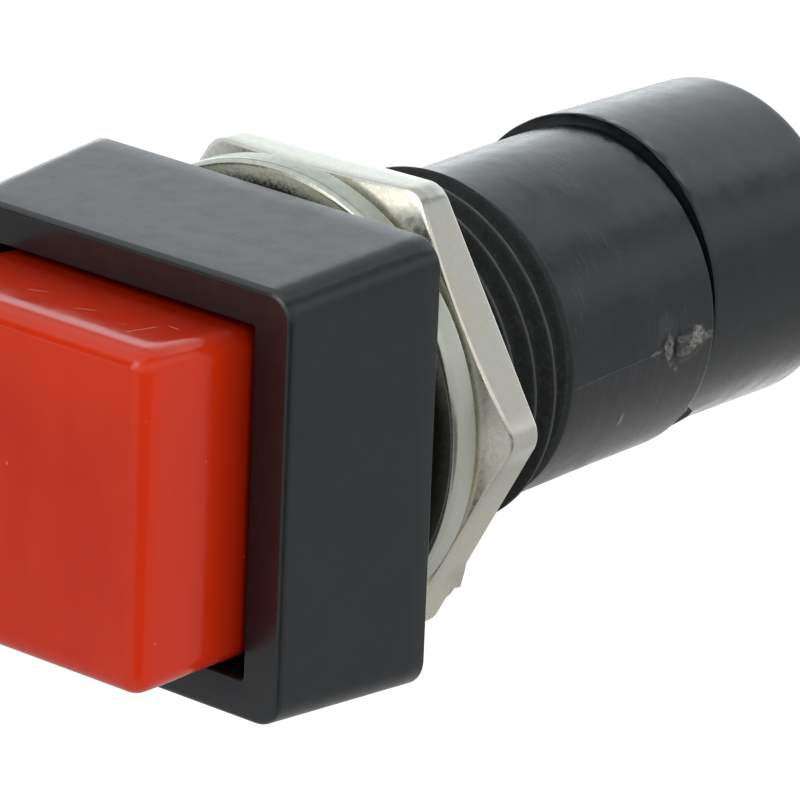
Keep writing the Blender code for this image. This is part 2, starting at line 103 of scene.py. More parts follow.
# Its tones: degrees round, place along, half height, half length in millimetres, grey
SCAR_TONES = ((82.8, 14.25, 0.6, 0.5, 0.032), (88.0, 14.05, 0.3, 0.36, 0.004),
              (92.0, 15.15, 0.6, 0.8, 0.04), (90.6, 15.88, 0.5, 0.44, 0.22), (91.2, 16.4, 0.2, 0.4, 0.12),
              (91.0, 14.4, 0.55, 0.26, 0.16), (89.3, 15.15, 0.18, 0.55, 0.1), (87.2, 15.3, 0.16, 0.6, 0.006),
              (94.6, 15.3, 0.2, 0.5, 0.1), (91.7, 14.84, 0.5, 0.14, 0.001), (94.2, 15.95, 0.16, 0.14, 0.003),
              (99.4, 14.89, 0.16, 0.12, 0.09), (97.6, 14.6, 0.14, 0.12, 0.07), (91.3, 13.65, 0.09, 0.4, 0.1),
              (113.6, 12.57, 0.34, 0.12, 0.16))

# Tilts and slopes are a rise per millimetre; the flake's angle and width are in degrees
REAR_LIFT = 0.35
REAR_TILT = 0.0235
REAR_R = 5.625
REAR_SHIFT = -0.06
REAR_END_R = 5.56
REAR_END = 23.98
REAR_EDGE = 0.26
REAR_ROUND = 0.13
SHOULDER = 16.82
LIP_OUT = 0.045
LIP_AHEAD = 0.08
FLAKE_ANGLE = 128.6
FLAKE_WIDTH = 3.6
FLAKE_LENGTH = 0.62
SPIGOT_R = 4.32
SPIGOT_FRONT = 15.14
POCKET_R = 1.975
POCKET_END = 20.14
SLOT_NEAR = 3.0
SLOT_FAR = 3.7
SLOT_HALF = 1.2

WASHER_R = 7.86
WASHER_BORE = 6.45
WASHER_FRONT = 0.95
WASHER_BACK = 2.0
WASHER_FRONT_ROUND = 0.24
WASHER_BACK_ROUND = 0.13
WASHER_SHIFT = -0.4
WASHER_TILT = 0.03
NUT_FLATS = 14.94
NUT_FRONT = 2.25
NUT_BACK = 4.01
NUT_TURN = math.radians(-1.2)
NUT_CHAMFER_R = 6.9
NUT_SLOPE = 0.34
NUT_CORNER = 0.9
NUT_LIFT = 0.1
NUT_MINOR = 5.67
NUT_THREAD_GAP = 0.15
NUT_LEAD_R = 6.21
NUT_EDGE = 0.05
NUT_BACK_ROUND = 0.08

# Burr on the nut's lower rear edge: degrees round, half width, sharpness, height in millimetres
BURR = ((135.0, 1.5, 4, 0.26), (138.4, 1.5, 2, 0.12), (131.8, 1.0, 2, 0.1))

# Points round the barrel and the bezel, and the angle in degrees above which an edge is shown sharp
COLUMNS = 264
SHARP_ANGLE = 34

# Studio: metres and strengths
FLOOR_Z = -0.03
WALL_LIGHT = 1.15
CEILING_LIGHT = 0.45


def smooth(value):
    """Smoothstep of a value held between 0 and 1."""
    t = np.clip(value, 0.0, 1.0)
    return t * t * (3 - 2 * t)


def even_angles(columns):
    """Angles from +Z towards +X, evenly spaced."""
    return np.arange(columns) * TURN / columns


def circle(radius, y, angles, lift=0.0):
    """A ring about the Y axis; radius and y may differ from column to column."""
    return np.column_stack((radius * np.sin(angles), y + 0 * angles, lift + radius * np.cos(angles)))


def box_ring(half_w, top, bottom, corner, y, columns, steps=12):
    """A rounded rectangle with as many points as a circle, counted from +Z towards +X."""
    straight = (columns // 4 - steps) // 2
    points = []
    for quarter in range(4):
        high = top if quarter in (0, 3) else -bottom
        along, across = (high, half_w) if quarter in (1, 3) else (half_w, high)
        for step in range(columns // 4):
            if step < straight:
                u, v = (along - corner) * step / straight, across
            elif step <= straight + steps:
                a = math.pi / 2 * (step - straight) / steps
                u = along - corner + corner * math.sin(a)
                v = across - corner + corner * math.cos(a)
            else:
                u, v = along, (across - corner) * (1 - (step - straight - steps) / straight)
            x, z = ((u, v), (v, -u), (-u, -v), (-v, u))[quarter]
            points.append((x, y, z))
    return np.array(points)


def loft(name, rings, closed, material, slot, body, *nodes):
    """Join rings of equal length into a mesh object in metres, which stands for the given CAD nodes."""
    count = len(rings[0])
    verts = np.concatenate(rings) * MM
    row = np.arange(count)
    following = (row + 1) % count
    faces = []
    last = len(rings) if closed else len(rings) - 1
    for r in range(last):
        a, b = r * count, ((r + 1) % len(rings)) * count
        faces += np.column_stack((a + row, a + following, b + following, b + row)).tolist()
    if not closed:
        faces.append(row[::-1].tolist())
        faces.append((row + (len(rings) - 1) * count).tolist())
    mesh = bpy.data.meshes.new(name)
    mesh.from_pydata(verts.tolist(), [], faces)
    mesh.validate()
    return place(name, mesh, material, slot, body, *nodes)


def place(name, mesh, material, slot, body, *nodes):
    """Shade a mesh, put it in the scene and tie it to its body."""
    mesh.materials.append(material)
    mesh.shade_smooth()
    mesh.set_sharp_from_angle(angle=math.radians(SHARP_ANGLE))
    obj = bpy.data.objects.new(name, mesh)
    bpy.context.scene.collection.objects.link(obj)
    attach(obj, body)
    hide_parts(*nodes)
    return obj


def rounded(steps, radius):
    """Offsets (inward, along) of a quarter round, from its start on the face to its end on the side."""
    angles = [math.pi / 2 * step / steps for step in range(steps + 1)]
    return [(radius * (1 - math.sin(a)), radius * (1 - math.cos(a))) for a in angles]


def rounded_back(steps, radius):
    """The same offsets in reverse, from the side to the face."""
    return rounded(steps, radius)[::-1]


class Graph:
    """A material's node tree, with short calls for the nodes used here."""

    def __init__(self, name):
        self.mat = bpy.data.materials.new(name)
        self.mat.use_nodes = True
        self.tree = self.mat.node_tree
        self.shader = self.tree.nodes["Principled BSDF"]
        coords = self.tree.nodes.new("ShaderNodeTexCoord")
        scale = self.tree.nodes.new("ShaderNodeVectorMath")
        scale.operation = "SCALE"
        scale.inputs["Scale"].default_value = 1 / MM
        self.tree.links.new(coords.outputs["Object"], scale.inputs[0])
        self.at = scale.outputs[0]

    def put(self, socket, value):
        """Link a socket or set a constant."""
        if isinstance(value, bpy.types.NodeSocket):
            self.tree.links.new(value, socket)
        else:
            socket.default_value = value

    def math(self, kind, a, b=0.0, c=0.0, clamp=False):
        """A Math node."""
        node = self.tree.nodes.new("ShaderNodeMath")
        node.operation = kind
        node.use_clamp = clamp
        for socket, value in zip(node.inputs, (a, b, c)):
            self.put(socket, value)
        return node.outputs[0]

    def split(self, vector):
        """The three parts of a vector."""
        node = self.tree.nodes.new("ShaderNodeSeparateXYZ")
        self.put(node.inputs[0], vector)
        return node.outputs

    def join(self, x, y, z):
        """A vector from three values."""
        node = self.tree.nodes.new("ShaderNodeCombineXYZ")
        for socket, value in zip(node.inputs, (x, y, z)):
            self.put(socket, value)
        return node.outputs[0]

    def stretch(self, vector, x, y, z):
        """A vector times three factors."""
        node = self.tree.nodes.new("ShaderNodeVectorMath")
        node.operation = "MULTIPLY"
        self.put(node.inputs[0], vector)
        node.inputs[1].default_value = (x, y, z)
        return node.outputs[0]

    def noise(self, scale, detail=3.0, rough=0.5, vector=None, distortion=0.0):
        """Noise, in features per millimetre."""
        node = self.tree.nodes.new("ShaderNodeTexNoise")
        self.put(node.inputs["Vector"], self.at if vector is None else vector)
        node.inputs["Scale"].default_value = scale
        node.inputs["Detail"].default_value = detail
        node.inputs["Roughness"].default_value = rough
        node.inputs["Distortion"].default_value = distortion
        return node.outputs[0]

    def cells(self, scale):
        """Distance to the nearest of scattered points, and a colour of its own for each point."""
        node = self.tree.nodes.new("ShaderNodeTexVoronoi")
        self.put(node.inputs["Vector"], self.at)
        node.inputs["Scale"].default_value = scale
        return node.outputs["Distance"], node.outputs["Color"]

    def span(self, value, low, high, out_low=0.0, out_high=1.0):
        """Map a range on to another, held at its ends."""
        node = self.tree.nodes.new("ShaderNodeMapRange")
        node.interpolation_type = "SMOOTHSTEP"
        for key, number in zip(("Value", "From Min", "From Max", "To Min", "To Max"),
                               (value, low, high, out_low, out_high)):
            self.put(node.inputs[key], number)
        return node.outputs[0]

    def mix(self, share, a, b):
        """Mix two colours."""
        node = self.tree.nodes.new("ShaderNodeMix")
        node.data_type = "RGBA"
        node.clamp_factor = True
        self.put(node.inputs[0], share)
        for socket, colour in ((node.inputs[6], a), (node.inputs[7], b)):
            self.put(socket, (*colour, 1.0) if isinstance(colour, tuple) else colour)
        return node.outputs[2]

    def bump(self, height, depth, before=None):
        """A bump of a height map whose full depth is given in millimetres."""
        node = self.tree.nodes.new("ShaderNodeBump")
        node.inputs["Distance"].default_value = depth * MM
        self.put(node.inputs["Height"], height)
        if before is not None:
            self.put(node.inputs["Normal"], before)
        return node.outputs[0]

    def reach(self, a, b):
        """Length of a flat vector."""
        square = self.math("MULTIPLY_ADD", a, a, self.math("MULTIPLY", b, b))
        return self.math("SQRT", square)

    def around(self):
        """Cylinder coordinates: angle from +Z towards +X in radians, y and radius in millimetres."""
        x, y, z = self.split(self.at)
        angle = self.math("ARCTAN2", x, z)
        return angle, y, self.reach(x, z)

    def spot(self, angle, y, degrees, at, tall, long, ragged=None):
        """A ragged oval mask on the barrel: centre in degrees and millimetres, half height, half length."""
        u = self.math("MULTIPLY", self.math("SUBTRACT", angle, math.radians(degrees)), BODY_R / tall)
        v = self.math("MULTIPLY", self.math("SUBTRACT", y, at), 1 / long)
        away = self.math("ADD", self.math("MULTIPLY", u, u), self.math("MULTIPLY", v, v))
        if ragged is not None:
            away = self.math("ADD", away, ragged)
        return self.span(away, 0.3, 1.0, 1.0, 0.0)

    def stroke(self, u, v, u0, v0, u1, v1, width):
        """A fine straight line between two points of a plane."""
        length = math.hypot(u1 - u0, v1 - v0)
        a, b = (u1 - u0) / length, (v1 - v0) / length
        du, dv = self.math("SUBTRACT", u, u0), self.math("SUBTRACT", v, v0)
        along = self.math("ADD", self.math("MULTIPLY", du, a), self.math("MULTIPLY", dv, b))
        across = self.math("SUBTRACT", self.math("MULTIPLY", du, b), self.math("MULTIPLY", dv, a))
        inside = self.math("MULTIPLY", self.span(along, 0.0, 0.2), self.span(along, length, length - 0.3))
        across = self.math("ABSOLUTE", across)
        return self.math("MULTIPLY", inside, self.span(across, width * 0.4, width, 1.0, 0.0))

    def finish(self, colour, roughness, normal=None, metallic=0.0, ior=1.5, tint=(1.0, 1.0, 1.0)):
        """Set the shader's own sockets."""
        self.shader.inputs["Specular Tint"].default_value = (*tint, 1.0)
        self.put(self.shader.inputs["Base Color"], colour)
        self.put(self.shader.inputs["Roughness"], roughness)
        self.put(self.shader.inputs["Metallic"], metallic)
        self.shader.inputs["IOR"].default_value = ior
        if normal is not None:
            self.put(self.shader.inputs["Normal"], normal)
        return self.mat


def black_plastic(name, body=False):
    """Semi-gloss moulded black: flow marks, fine grain and dust specks; thread and scuffs on the barrel,
    with painted shade in the thread grooves and on the flake at the seam, a painted highlight on the crests
    and a painted reflection past the parting line.
    """
    g = Graph(name)
    flow = g.noise(0.45, 3.0, 0.55)
    colour = g.mix(flow, (0.008, 0.0085, 0.0095), (0.0125, 0.013, 0.014))
    rough = g.span(g.noise(1.4, 4.0, 0.6), 0.3, 0.7, 0.2, 0.29)
    normal = g.bump(g.noise(0.5, 2.0, 0.5), 0.022)
    normal = g.bump(g.noise(16.0, 2.0, 0.6), 0.0012, normal)
    distance, shade = g.cells(0.62)
    few = g.span(g.split(shade)[0], 0.55, 0.6)
    speck = g.math("MULTIPLY", g.span(distance, 0.018, 0.045, 1.0, 0.0), few)
    colour = g.mix(g.math("MULTIPLY", speck, 0.6), colour, (0.11, 0.11, 0.11))
    if body:
        angle, y, radius = g.around()
        thread = g.math("MULTIPLY", g.span(y, 9.45, 9.25), g.span(radius, 6.2, 6.1))
        thread = g.math("MULTIPLY", thread, g.span(y, 0.0, 0.05))
        crest = g.span(radius, 5.965, 5.995)
        matte = g.math("MULTIPLY", thread, g.math("SUBTRACT", 1.0, g.math("MULTIPLY", crest, 0.5)))
        # Painted shade: the thread's grooves are painted darker, with a soft mottle, for the shade between
        # the flanks.
        groove_mottle = g.noise(7.0, 4.0, 0.65)
        ground = g.mix(g.span(groove_mottle, 0.42, 0.7), (0.004, 0.004, 0.004), (0.017, 0.017, 0.017))
        colour = g.mix(matte, colour, ground)
        # Painted highlight: a lighter line along the thread crests, which are also made less rough.
        colour = g.mix(g.math("MULTIPLY", crest, thread), colour, (0.034, 0.034, 0.034))
        rough = g.math("ADD", rough, g.math("MULTIPLY", matte, 0.55))
        turned = g.join(g.math("MULTIPLY", angle, 3.4), g.math("MULTIPLY", y, 7.0), 0.0)
        lines = g.noise(1.0, 4.0, 0.65, turned)
        patch = g.span(g.noise(0.35, 2.0, 0.5), 0.46, 0.62)
        where = g.math("MULTIPLY", g.span(y, 9.4, 9.7), g.span(radius, 6.2, 5.9))
        below = g.span(angle, math.radians(91.2), math.radians(92.4))
        patch = g.math("MAXIMUM", patch, g.math("MULTIPLY", below, 0.85))
        scuff = g.math("MULTIPLY", g.math("MULTIPLY", g.span(lines, 0.52, 0.7), where), patch)
        # Painted reflection: the barrel past the parting line is painted a little lighter; the same mask
        # also gathers the scuffs there.
        parting_sheen = g.math("MULTIPLY", below, where)
        colour = g.mix(g.math("MULTIPLY", parting_sheen, 0.6), colour, (0.019, 0.019, 0.0205))
        colour = g.mix(g.math("MULTIPLY", scuff, 0.6), colour, (0.05, 0.05, 0.054))
        normal = g.bump(g.math("MULTIPLY", lines, g.math("MULTIPLY", where, patch)), 0.009, normal)
        ripped = g.span(g.noise(9.0, 4.0, 0.7), 0.36, 0.56, 0.2, 1.0)
        rag = g.math("MULTIPLY_ADD", g.noise(5.5, 4.0, 0.72), 3.4, -1.6)
        for degrees, at, tall, long, grey in SCAR_TONES:
            mark = g.math("MULTIPLY", g.spot(angle, y, degrees, at, tall, long, rag), ripped)
            colour = g.mix(mark, colour, (grey, grey, grey * (1.15 if degrees < 85 else 0.9)))
        # Painted shade: the flake at the seam is painted near black and rough, for the shade in the gap
        # beside it.
        flake = g.spot(angle, y, FLAKE_ANGLE, SEAM_Y + 0.35, 0.62, 0.52)
        colour = g.mix(flake, colour, (0.001, 0.001, 0.001))
        rough = g.math("ADD", rough, g.math("MULTIPLY", flake, 0.5))
        torn = g.spot(angle, y, 91.5, 15.2, 0.7, 1.3)
        rough = g.math("ADD", rough, g.math("MULTIPLY", torn, 0.3))
        normal = g.bump(g.math("MULTIPLY", torn, g.noise(6.0, 4.0, 0.7)), 0.07, normal)
    return g.finish(colour, rough, normal, 0.0, 1.6 if body else 1.57, (0.93, 0.97, 1.0))


def red_plastic():
    """Glossy red moulded plastic with fine scratches and a few specks, painted lighter towards its top and
    right side as a painted glow and highlight, and painted darker towards the back as painted shade.
    """
    g = Graph("cap_red_plastic")
    x, y, z = g.split(g.at)
    flow = g.span(g.noise(0.5, 3.0, 0.55, g.stretch(g.at, 1.0, 1.0, 0.3)), 0.3, 0.7)
    colour = g.mix(flow, (0.53, 0.021, 0.002), (0.575, 0.027, 0.002))
    # Painted glow and highlight: lighter red towards the top and along the right side.
    colour = g.mix(g.span(z, 2.0, 5.5, 0.0, 0.5), colour, (0.72, 0.034, 0.002))
    colour = g.mix(g.span(x, 4.9, 5.35, 0.0, 0.6), colour, (0.66, 0.028, 0.002))
    # Painted shade: darker red towards the back, where the recess shades the cap.
    colour = g.mix(g.span(y, -9.4, -5.8, 0.0, 0.85), colour, (0.22, 0.006, 0.0012))
    rough = g.span(g.noise(1.1, 4.0, 0.6), 0.3, 0.7, 0.1, 0.16)
    normal = g.bump(g.noise(0.5, 2.0, 0.5), 0.014)
    normal = g.bump(g.noise(9.0, 3.0, 0.6), 0.0015, normal)
    scratch = g.noise(1.0, 3.0, 0.6, g.stretch(g.at, 6.0, 0.7, 9.0), 0.4)
    cut = g.span(scratch, 0.68, 0.76)
    colour = g.mix(g.math("MULTIPLY", cut, 0.25), colour, (0.62, 0.1, 0.06))
    normal = g.bump(cut, 0.004, normal)
    distance, shade = g.cells(0.7)
    few = g.span(g.split(shade)[0], 0.6, 0.65)
    speck = g.math("MULTIPLY", g.span(distance, 0.02, 0.05, 1.0, 0.0), few)
    colour = g.mix(g.math("MULTIPLY", speck, 0.5), colour, (0.7, 0.25, 0.2))
    for x0, y0, x1, y1 in CAP_SCRATCHES:
        line = g.stroke(x, y, x0, y0, x1, y1, 0.045)
        line = g.math("MULTIPLY", line, g.span(z, 5.0, 5.2))
        colour = g.mix(g.math("MULTIPLY", line, 0.7), colour, (0.8, 0.28, 0.22))
        normal = g.bump(line, 0.012, normal)
    g.shader.inputs["Subsurface Weight"].default_value = 0.15
    g.shader.inputs["Subsurface Radius"].default_value = (1.0, 0.12, 0.05)
    g.shader.inputs["Subsurface Scale"].default_value = 1.2 * MM
    return g.finish(colour, rough, normal, 0.0, 1.46)


def washer_metal():
    """Zinc-plated steel: a mottled skin, painted lighter at mid height as a painted highlight, and a front
    face painted dark inside its edge as painted shade and the painted reflection of the black bezel, with
    speckles.
    """
    g = Graph("washer_zinc_plate")
    mottle = g.noise(3.0, 4.0, 0.55, None, 0.5)
    colour = g.mix(g.span(mottle, 0.3, 0.7), (0.46, 0.485, 0.42), (0.54, 0.565, 0.5))
    rough = g.span(g.noise(6.0, 4.0, 0.6), 0.3, 0.7, 0.38, 0.5)
    normal = g.bump(mottle, 0.004)
    normal = g.bump(g.noise(24.0, 3.0, 0.6), 0.001, normal)
    x, y, z = g.split(g.at)
    # Painted highlight: the washer is painted lighter at mid height, on its sides.
    painted_side_sheen = g.span(g.math("ABSOLUTE", z), 1.5, 6.5, 0.9, 0.0)
    colour = g.mix(painted_side_sheen, colour, (0.78, 0.8, 0.71))
    x = g.math("SUBTRACT", x, WASHER_SHIFT)
    radius = g.reach(x, z)
    front = g.math("SUBTRACT", y, g.math("MULTIPLY", x, WASHER_TILT))
    face = g.span(front, WASHER_FRONT + 0.06, WASHER_FRONT + 0.02)
    face = g.math("MULTIPLY", face, g.span(radius, 7.7, 7.6))
    edge = g.math("SUBTRACT", g.span(front, WASHER_FRONT + 0.3, WASHER_FRONT + 0.22), face)
    rough = g.math("MULTIPLY", rough, g.math("SUBTRACT", 1.0, g.math("MULTIPLY", edge, 0.5, clamp=True)))
    # Painted shade and reflection: the front face inside its edge is painted dark, speckled, where the black
    # bezel shades it and is mirrored in it; it is made mostly non-metal there.
    speckle = g.span(g.noise(9.0, 5.0, 0.72), 0.35, 0.65, -0.3, 0.3)
    lit_face_share = g.math("ADD", g.span(radius, 7.0, 7.55, -0.1, 1.0), speckle)
    lit_face_share = g.math("MULTIPLY", lit_face_share, g.span(z, 1.0, 5.0, 0.08, 1.0), clamp=True)
    colour = g.mix(face, colour, g.mix(lit_face_share, (0.018, 0.019, 0.016), (0.56, 0.58, 0.46)))
    metal = g.math("SUBTRACT", 1.0, g.math("MULTIPLY", face, 0.8))
    return g.finish(colour, rough, normal, metal)


def nut_metal():
    """Nickel plate, drawn along the flats and turned on the faces, with brown stains; painted lighter
    towards the bottom, with painted highlights along the front edge of the flats and on one corner.
    """
    g = Graph("nut_nickel_plate")
    angle, y, radius = g.around()
    warm = g.noise(0.9, 3.0, 0.55)
    colour = g.mix(g.span(warm, 0.4, 0.75), (0.61, 0.62, 0.575), (0.65, 0.615, 0.51))
    rough = g.span(g.noise(4.0, 4.0, 0.6), 0.3, 0.7, 0.2, 0.32)
    drawn = g.noise(1.0, 3.0, 0.6, g.join(g.math("MULTIPLY", angle, 90.0), g.math("MULTIPLY", y, 0.8), 0.0))
    rings = g.join(g.math("MULTIPLY", radius, 16.0), g.math("MULTIPLY", angle, 1.2), 0.0)
    turned = g.noise(1.0, 2.0, 0.6, rings)
    normal = g.bump(drawn, 0.0008)
    normal = g.bump(turned, 0.001, normal)
    normal = g.bump(g.noise(1.6, 2.0, 0.5), 0.006, normal)
    local = g.math("WRAP", g.math("SUBTRACT", angle, NUT_TURN), math.pi / 6, -math.pi / 6)
    side = g.math("DIVIDE", NUT_FLATS / 2, g.math("COSINE", local))
    edge = g.math("MULTIPLY_ADD", side, NUT_SLOPE, NUT_FRONT + 0.03 - NUT_CHAMFER_R * NUT_SLOPE)
    away = g.math("ABSOLUTE", g.math("SUBTRACT", y, edge))
    # Painted highlight: a bright line along the front edge of the upper right flat.
    painted_edge_highlight = g.span(away, 0.03, 0.07, 1.0, 0.0)
    turn = g.math("ABSOLUTE", g.math("SUBTRACT", angle, math.pi / 3 + NUT_TURN))
    painted_edge_highlight = g.math("MULTIPLY", painted_edge_highlight, g.span(turn, 0.38, 0.5, 1.0, 0.0))
    z = g.split(g.at)[2]
    # Painted light: the nut is painted lighter towards the bottom.
    colour = g.mix(g.span(z, 1.0, -3.0, 0.0, 0.8), colour, (0.78, 0.745, 0.62))
    before = g.math("SUBTRACT", edge, y)
    # Painted highlight: a pale band on the corner at the right.
    corner = g.math("ABSOLUTE", g.math("SUBTRACT", angle, math.pi / 2 + NUT_TURN))
    colour = g.mix(g.span(corner, 0.02, 0.13, 0.9, 0.0), colour, (0.92, 0.91, 0.84))
    # Painted light: the front chamfer is painted paler towards the bottom.
    lower_chamfer_light = g.math("MULTIPLY", g.span(before, 0.02, 0.1), g.span(z, 3.0, -2.0, 0.0, 0.85))
    colour = g.mix(lower_chamfer_light, colour, (0.93, 0.88, 0.73))
    colour = g.mix(painted_edge_highlight, colour, (1.0, 0.93, 0.8))
    stain = g.math("MULTIPLY", g.span(radius, 7.9, 7.0), g.span(g.noise(1.3, 4.0, 0.65), 0.48, 0.6))
    stain = g.math("MULTIPLY", stain, g.span(before, 0.03, 0.12))
    stain = g.math("MULTIPLY", stain, g.span(z, 0.5, 3.0, 0.3, 1.0))
    colour = g.mix(g.math("MULTIPLY", stain, 0.6), colour, (0.3, 0.26, 0.16))
    return g.finish(colour, rough, normal, 1.0)


def plain_metal(name, dark, light, low, high, grain=8.0, depth=0.003, along=(1.0, 1.0, 1.0)):
    """A metal with soft colour variation, a varied gloss and a fine grain along one direction."""
    g = Graph(name)
    colour = g.mix(g.span(g.noise(1.6, 4.0, 0.6), 0.35, 0.65), dark, light)
    rough = g.span(g.noise(3.0, 3.0, 0.6), 0.3, 0.7, low, high)
    normal = g.bump(g.noise(grain, 3.0, 0.6, g.stretch(g.at, *along)), depth)
    return g.finish(colour, rough, normal, 1.0)


def white_acetal():
    """Off-white slippery plastic."""
    g = Graph("plunger_acetal")
    colour = g.mix(g.noise(0.5, 3.0, 0.5), (0.7, 0.69, 0.64), (0.78, 0.77, 0.73))
    rough = g.span(g.noise(2.0, 3.0, 0.5), 0.3, 0.7, 0.36, 0.5)
    return g.finish(colour, rough, g.bump(g.noise(12.0, 3.0, 0.6), 0.003))


def thread_height(phase):
    """Thread profile over one pitch, with a narrow rounded crest and an open root."""
    away = np.abs((phase + 0.5) % 1.0 - 0.5)
    return smooth((0.335 - away) / 0.31)


def barrel_angles():
    """Column angles of the barrel, closer together at the parting line and the scar on it."""
    close = PART_ANGLE + np.arange(-16, 16) * 0.28 + 0.1
    return np.sort(np.concatenate((even_angles(COLUMNS - 32), np.radians(close))))


def dent(angles, y, angle, at, wide, tall, deep):
    """A shallow dent in the barrel, in degrees around and millimetres along."""
    around = (np.degrees(angles) - angle) / wide
    return deep * np.exp(-around ** 2 - ((y - at) / tall) ** 2)


def body_relief(angles, y):
    """Height of the parting line and of the small scars on the smooth part of the barrel."""
    centre = 92.3 - 0.33 * (y - 9.4) + 0.12 * math.sin(2.1 * y)
    line = 0.02 * np.exp(-((np.degrees(angles) - centre) / 0.26) ** 2)
    line *= smooth((y - 9.15) / 0.3)
    for spot in SCAR:
        line = line + dent(angles, y, *spot)
    return line


def make_housing(material):
    """Bezel, recess, guide, bore, threaded barrel and smooth body."""
    angles = barrel_angles()
    front = -BEZEL_DEPTH
    w, t, b = RECESS_HALF_W, RECESS_TOP, RECESS_BOTTOM
    rings = [circle(BORE_R, SEAM_Y, angles), circle(BORE_R, GUIDE_BACK, angles)]
    rings += [circle(GUIDE_R, GUIDE_BACK, angles), circle(GUIDE_R, -RECESS_FLOOR, angles)]
    rings.append(box_ring(w, t, b, RECESS_CORNER, -RECESS_FLOOR, COLUMNS))
    for e, along in rounded_back(5, RIM_EDGE):
        rings.append(box_ring(w + e, t + e, b - e, RECESS_CORNER + e, front + along, COLUMNS))
    for inward, along in rounded(8, BEZEL_EDGE):
        w, t, b = BEZEL_FRONT_HALF - inward, BEZEL_FRONT_TOP - inward, BEZEL_FRONT_BOTTOM + inward
        rings.append(box_ring(w, t, b, BEZEL_CORNER - inward, front + along, COLUMNS))
    for part in np.linspace(0, 1, 9)[1:]:
        y = front + BEZEL_EDGE + (BEZEL_DEPTH - BEZEL_EDGE - BACK_EDGE) * part
        w = BEZEL_FRONT_HALF + (BEZEL_BACK_HALF - BEZEL_FRONT_HALF) * part
        t = BEZEL_FRONT_TOP + (BEZEL_BACK_HALF - BEZEL_FRONT_TOP) * part
        b = BEZEL_FRONT_BOTTOM + (BEZEL_BACK_BOTTOM - BEZEL_FRONT_BOTTOM) * part
        rings.append(box_ring(w, t, b, BEZEL_CORNER, y, COLUMNS))
    for inward, along in rounded_back(4, BACK_EDGE)[1:]:
        half = BEZEL_BACK_HALF - inward
        b = BEZEL_BACK_BOTTOM + inward
        rings.append(box_ring(half, half, b, BEZEL_CORNER - inward, -along, COLUMNS))
    half = BEZEL_BACK_HALF - BACK_EDGE - SEAT_WIDTH
    rings += [box_ring(half, half, -half, 0.4, y, COLUMNS) for y in (0.0, -RELIEF_DEPTH)]
    rings.append(circle(ROOT_R, -RELIEF_DEPTH, angles))
    rows = round((THREAD_END - THREAD_START) / PITCH * THREAD_ROWS)
    for row in range(rows + 1):
        y = THREAD_START + (THREAD_END - THREAD_START) * row / rows
        fade = smooth((y - THREAD_START) / 0.5) * smooth((THREAD_END - y) / 0.4)
        height = thread_height(y / PITCH - THREAD_PHASE - angles / TURN) * fade
        crest = CREST_R + dent(angles, y, *PROUD_THREAD)
        rings.append(circle(ROOT_R + (crest - ROOT_R) * height, y, angles))
    body = THREAD_END + 0.25
    for y in np.linspace(body, SEAM_Y - SEAM_EDGE, 80):
        sag = -BODY_SAG * (1 - smooth((y - body) / 5))
        rings.append(circle(BODY_R + body_relief(angles, y), y, angles, sag))
    flake = FLAKE_LENGTH * np.exp(-((np.degrees(angles) - FLAKE_ANGLE) / FLAKE_WIDTH) ** 4)
    for inward, along in rounded_back(3, SEAM_EDGE)[1:]:
        rings.append(circle(BODY_R - inward, SEAM_Y - along + flake, angles))
    return loft("housing_visual", rings, True, material, "housing_black", "switch_body", "housing")


def cap_section(y):
    """Half width, top and bottom of the cap at a place along it; it falls towards the recess."""
    back = y - CAP_FRONT
    return CAP_HALF_W - CAP_TAPER * back, CAP_TOP - CAP_TOP_FALL * back, CAP_BOTTOM - CAP_TAPER * back


def make_cap(material):
    """Square cap: rounded shell with the plunger's socket."""
    columns = 160
    rings = []
    for inward, along in rounded(8, CAP_EDGE):
        w, t, b = cap_section(CAP_FRONT + along)
        rings.append(box_ring(w - inward, t - inward, b + inward, CAP_CORNER - inward + 0.02,
                              CAP_FRONT + along, columns, 8))
    for y in np.linspace(CAP_FRONT + CAP_EDGE, CAP_REAR, 14)[1:]:
        w, t, b = cap_section(y)
        rings.append(box_ring(w, t, b, CAP_CORNER, y, columns, 8))
    inside = CAP_FRONT + CAP_FRONT_WALL
    for y in (CAP_REAR, inside):
        w, t, b = cap_section(y)
        rings.append(box_ring(w - CAP_WALL, t - CAP_WALL, b + CAP_WALL, CAP_CORNER, y, columns, 8))
    angles = even_angles(columns)
    rings += [circle(BOSS_R, inside, angles), circle(BOSS_R, SOCKET_END, angles)]
    rings += [circle(SOCKET_R, SOCKET_END, angles), circle(SOCKET_R, SOCKET_END - 4.2, angles)]
    return loft("cap_visual", rings, False, material, "cap_red", "button", "button_cap")


def ragged(angles, seed, middle, width):
    """An uneven edge between -1 and 1, strongest about one angle, in degrees."""
    rng = np.random.default_rng(seed)
    total = 0 * angles
    for count in (23, 41, 67, 97, 131):
        total += np.sin(count * angles + rng.uniform(0, TURN)) * rng.uniform(0.4, 1.0) * 23 / count
    away = (np.degrees(angles) - middle + 180) % 360 - 180
    return total / 1.6 * np.exp(-(away / width) ** 2)


def rear_ring(radius, y, angles, uneven=0.0):
    """A ring of the rear moulding, which leans back from the barrel and stands a little above it."""
    along = y - SHOULDER
    lift = REAR_LIFT - REAR_TILT * along
    ring = circle(radius + uneven, y, angles, lift)
    lean = ring[:, 2] + REAR_R
    near = math.exp(-(along / 1.5) ** 2)
    ring[:, 1] += REAR_TILT * (lean * (1 - near) + lean ** 2 / (2 * REAR_R) * near)
    ring[:, 0] += REAR_SHIFT
    return ring


